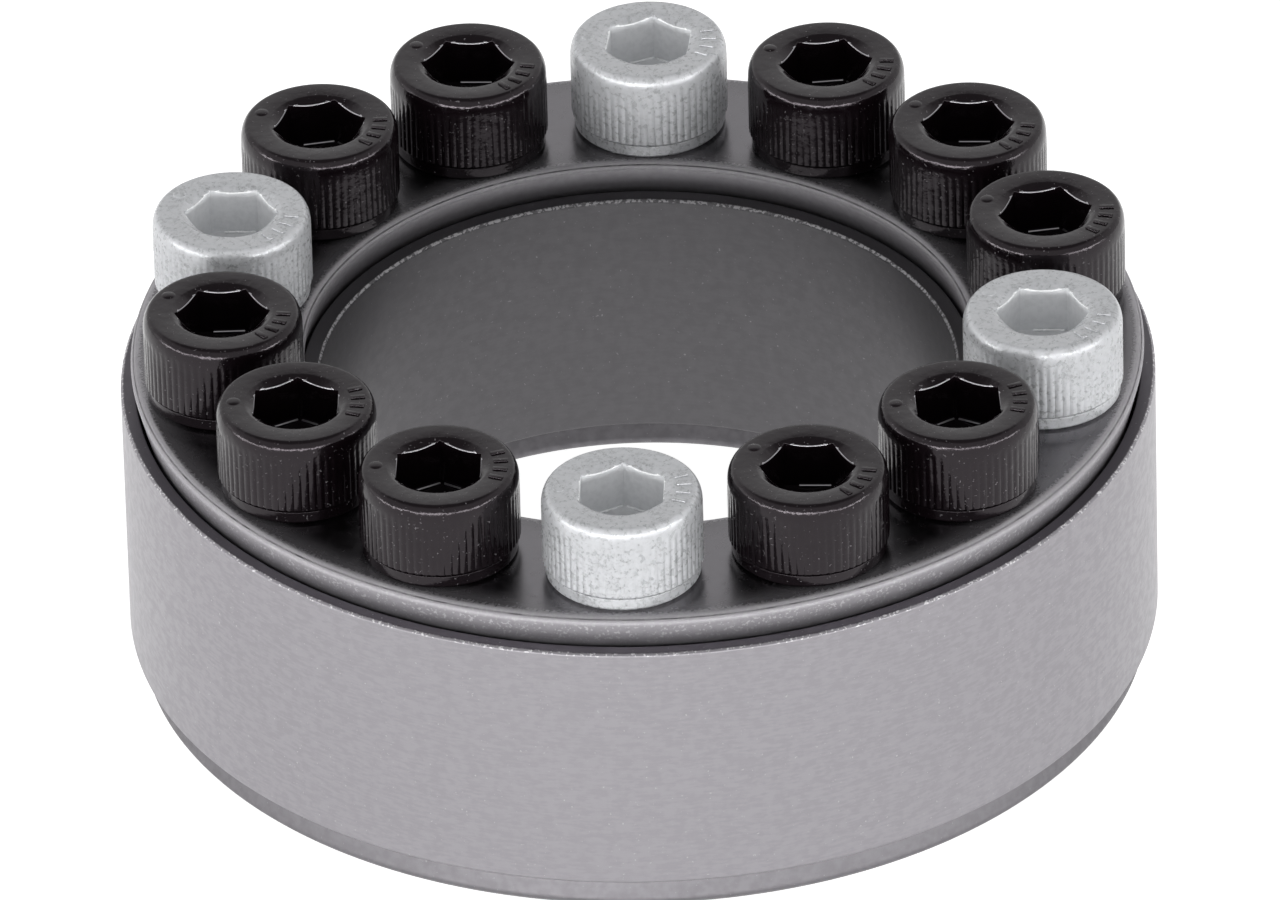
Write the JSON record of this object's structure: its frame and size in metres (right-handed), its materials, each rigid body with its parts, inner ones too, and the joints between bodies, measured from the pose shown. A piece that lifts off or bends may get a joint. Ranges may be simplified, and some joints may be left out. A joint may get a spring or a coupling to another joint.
{
  "type": "keyless locking assembly",
  "caption": "Ring-shaped double-taper clamping set with a circle of socket head screws, which locks a hub to a plain round shaft.",
  "frame": {"origin": "centre of the rear thrust ring's outer face, on the shaft's axis", "axes": "+Z along the shaft's axis, towards the screw heads; +Y to the first plated screw"},
  "size_m": [0.065, 0.065, 0.0274],
  "materials": {
    "ground_steel": "satin, ground",
    "turned_steel": "satin, turned, slightly oiled",
    "black_oxide_steel": "semi-gloss black oxide",
    "zinc_plated_steel": "bright zinc plate, speckled"
  },
  "bodies": {
    "rear_thrust_ring": {"rear_thrust_ring": "turned_steel"},
    "front_thrust_ring": {"front_thrust_ring": "turned_steel"},
    "outer_ring": {"outer_ring": "ground_steel"},
    "inner_ring": {"inner_ring": "ground_steel"},
    "clamp_screw_01": {"clamp_screw_01": "black_oxide_steel"},
    "clamp_screw_02": {"clamp_screw_02": "black_oxide_steel"},
    "clamp_screw_03": {"clamp_screw_03": "black_oxide_steel"},
    "clamp_screw_04": {"clamp_screw_04": "black_oxide_steel"},
    "clamp_screw_05": {"clamp_screw_05": "black_oxide_steel"},
    "clamp_screw_06": {"clamp_screw_06": "black_oxide_steel"},
    "clamp_screw_07": {"clamp_screw_07": "black_oxide_steel"},
    "clamp_screw_08": {"clamp_screw_08": "black_oxide_steel"},
    "clamp_screw_09": {"clamp_screw_09": "black_oxide_steel"},
    "clamp_screw_10": {"clamp_screw_10": "black_oxide_steel"},
    "plated_screw_01": {"plated_screw_01": "zinc_plated_steel"},
    "plated_screw_02": {"plated_screw_02": "zinc_plated_steel"},
    "plated_screw_03": {"plated_screw_03": "zinc_plated_steel"},
    "plated_screw_04": {"plated_screw_04": "zinc_plated_steel"}
  },
  "joints": [
    {"name": "front_thrust_ring_draw", "type": "slide", "parent": "rear_thrust_ring", "child": "front_thrust_ring", "axis": [0, 0, -1], "range_m": [0, 0.0014]},
    {"name": "outer_ring_centring", "type": "slide", "parent": "rear_thrust_ring", "child": "outer_ring", "axis": [0, 0, -1], "range_m": [0, 0.0007]},
    {"name": "inner_ring_centring", "type": "slide", "parent": "rear_thrust_ring", "child": "inner_ring", "axis": [0, 0, -1], "range_m": [0, 0.0007]},
    {"name": "clamp_screw_01_turn", "type": "hinge", "parent": "front_thrust_ring", "child": "clamp_screw_01", "pos_m": [0.01139, 0.02365, 0.0214], "axis": [0, 0, -1], "range_deg": [0, 504.01]},
    {"name": "clamp_screw_02_turn", "type": "hinge", "parent": "front_thrust_ring", "child": "clamp_screw_02", "pos_m": [0.02052, 0.01637, 0.0214], "axis": [0, 0, -1], "range_deg": [0, 504.01]},
    {"name": "clamp_screw_03_turn", "type": "hinge", "parent": "front_thrust_ring", "child": "clamp_screw_03", "pos_m": [0.02559, 0.00584, 0.0214], "axis": [0, 0, -1], "range_deg": [0, 504.01]},
    {"name": "clamp_screw_04_turn", "type": "hinge", "parent": "front_thrust_ring", "child": "clamp_screw_04", "pos_m": [0.02052, -0.01637, 0.0214], "axis": [0, 0, -1], "range_deg": [0, 504.01]},
    {"name": "clamp_screw_05_turn", "type": "hinge", "parent": "front_thrust_ring", "child": "clamp_screw_05", "pos_m": [0.01139, -0.02365, 0.0214], "axis": [0, 0, -1], "range_deg": [0, 504.01]},
    {"name": "clamp_screw_06_turn", "type": "hinge", "parent": "front_thrust_ring", "child": "clamp_screw_06", "pos_m": [-0.01139, -0.02365, 0.0214], "axis": [0, 0, -1], "range_deg": [0, 504.01]},
    {"name": "clamp_screw_07_turn", "type": "hinge", "parent": "front_thrust_ring", "child": "clamp_screw_07", "pos_m": [-0.02052, -0.01637, 0.0214], "axis": [0, 0, -1], "range_deg": [0, 504.01]},
    {"name": "clamp_screw_08_turn", "type": "hinge", "parent": "front_thrust_ring", "child": "clamp_screw_08", "pos_m": [-0.02559, -0.00584, 0.0214], "axis": [0, 0, -1], "range_deg": [0, 504.01]},
    {"name": "clamp_screw_09_turn", "type": "hinge", "parent": "front_thrust_ring", "child": "clamp_screw_09", "pos_m": [-0.02052, 0.01637, 0.0214], "axis": [0, 0, -1], "range_deg": [0, 504.01]},
    {"name": "clamp_screw_10_turn", "type": "hinge", "parent": "front_thrust_ring", "child": "clamp_screw_10", "pos_m": [-0.01139, 0.02365, 0.0214], "axis": [0, 0, -1], "range_deg": [0, 504.01]},
    {"name": "plated_screw_01_turn", "type": "hinge", "parent": "front_thrust_ring", "child": "plated_screw_01", "pos_m": [0, 0.02625, 0.0214], "axis": [0, 0, -1], "range_deg": [0, 504.01]},
    {"name": "plated_screw_02_turn", "type": "hinge", "parent": "front_thrust_ring", "child": "plated_screw_02", "pos_m": [0.02559, -0.00584, 0.0214], "axis": [0, 0, -1], "range_deg": [0, 504.01]},
    {"name": "plated_screw_03_turn", "type": "hinge", "parent": "front_thrust_ring", "child": "plated_screw_03", "pos_m": [0, -0.02625, 0.0214], "axis": [0, 0, -1], "range_deg": [0, 504.01]},
    {"name": "plated_screw_04_turn", "type": "hinge", "parent": "front_thrust_ring", "child": "plated_screw_04", "pos_m": [-0.02559, 0.00584, 0.0214], "axis": [0, 0, -1], "range_deg": [0, 504.01]}
  ],
  "couplings": [
    {"joint": "outer_ring_centring", "follows": "front_thrust_ring_draw", "ratio": 0.5},
    {"joint": "inner_ring_centring", "follows": "front_thrust_ring_draw", "ratio": 0.5},
    {"joint": "clamp_screw_01_turn", "follows": "front_thrust_ring_draw", "rad_per_m": 6283.2},
    {"joint": "clamp_screw_02_turn", "follows": "front_thrust_ring_draw", "rad_per_m": 6283.2},
    {"joint": "clamp_screw_03_turn", "follows": "front_thrust_ring_draw", "rad_per_m": 6283.2},
    {"joint": "clamp_screw_04_turn", "follows": "front_thrust_ring_draw", "rad_per_m": 6283.2},
    {"joint": "clamp_screw_05_turn", "follows": "front_thrust_ring_draw", "rad_per_m": 6283.2},
    {"joint": "clamp_screw_06_turn", "follows": "front_thrust_ring_draw", "rad_per_m": 6283.2},
    {"joint": "clamp_screw_07_turn", "follows": "front_thrust_ring_draw", "rad_per_m": 6283.2},
    {"joint": "clamp_screw_08_turn", "follows": "front_thrust_ring_draw", "rad_per_m": 6283.2},
    {"joint": "clamp_screw_09_turn", "follows": "front_thrust_ring_draw", "rad_per_m": 6283.2},
    {"joint": "clamp_screw_10_turn", "follows": "front_thrust_ring_draw", "rad_per_m": 6283.2},
    {"joint": "plated_screw_01_turn", "follows": "front_thrust_ring_draw", "rad_per_m": 6283.2},
    {"joint": "plated_screw_02_turn", "follows": "front_thrust_ring_draw", "rad_per_m": 6283.2},
    {"joint": "plated_screw_03_turn", "follows": "front_thrust_ring_draw", "rad_per_m": 6283.2},
    {"joint": "plated_screw_04_turn", "follows": "front_thrust_ring_draw", "rad_per_m": 6283.2}
  ]
}
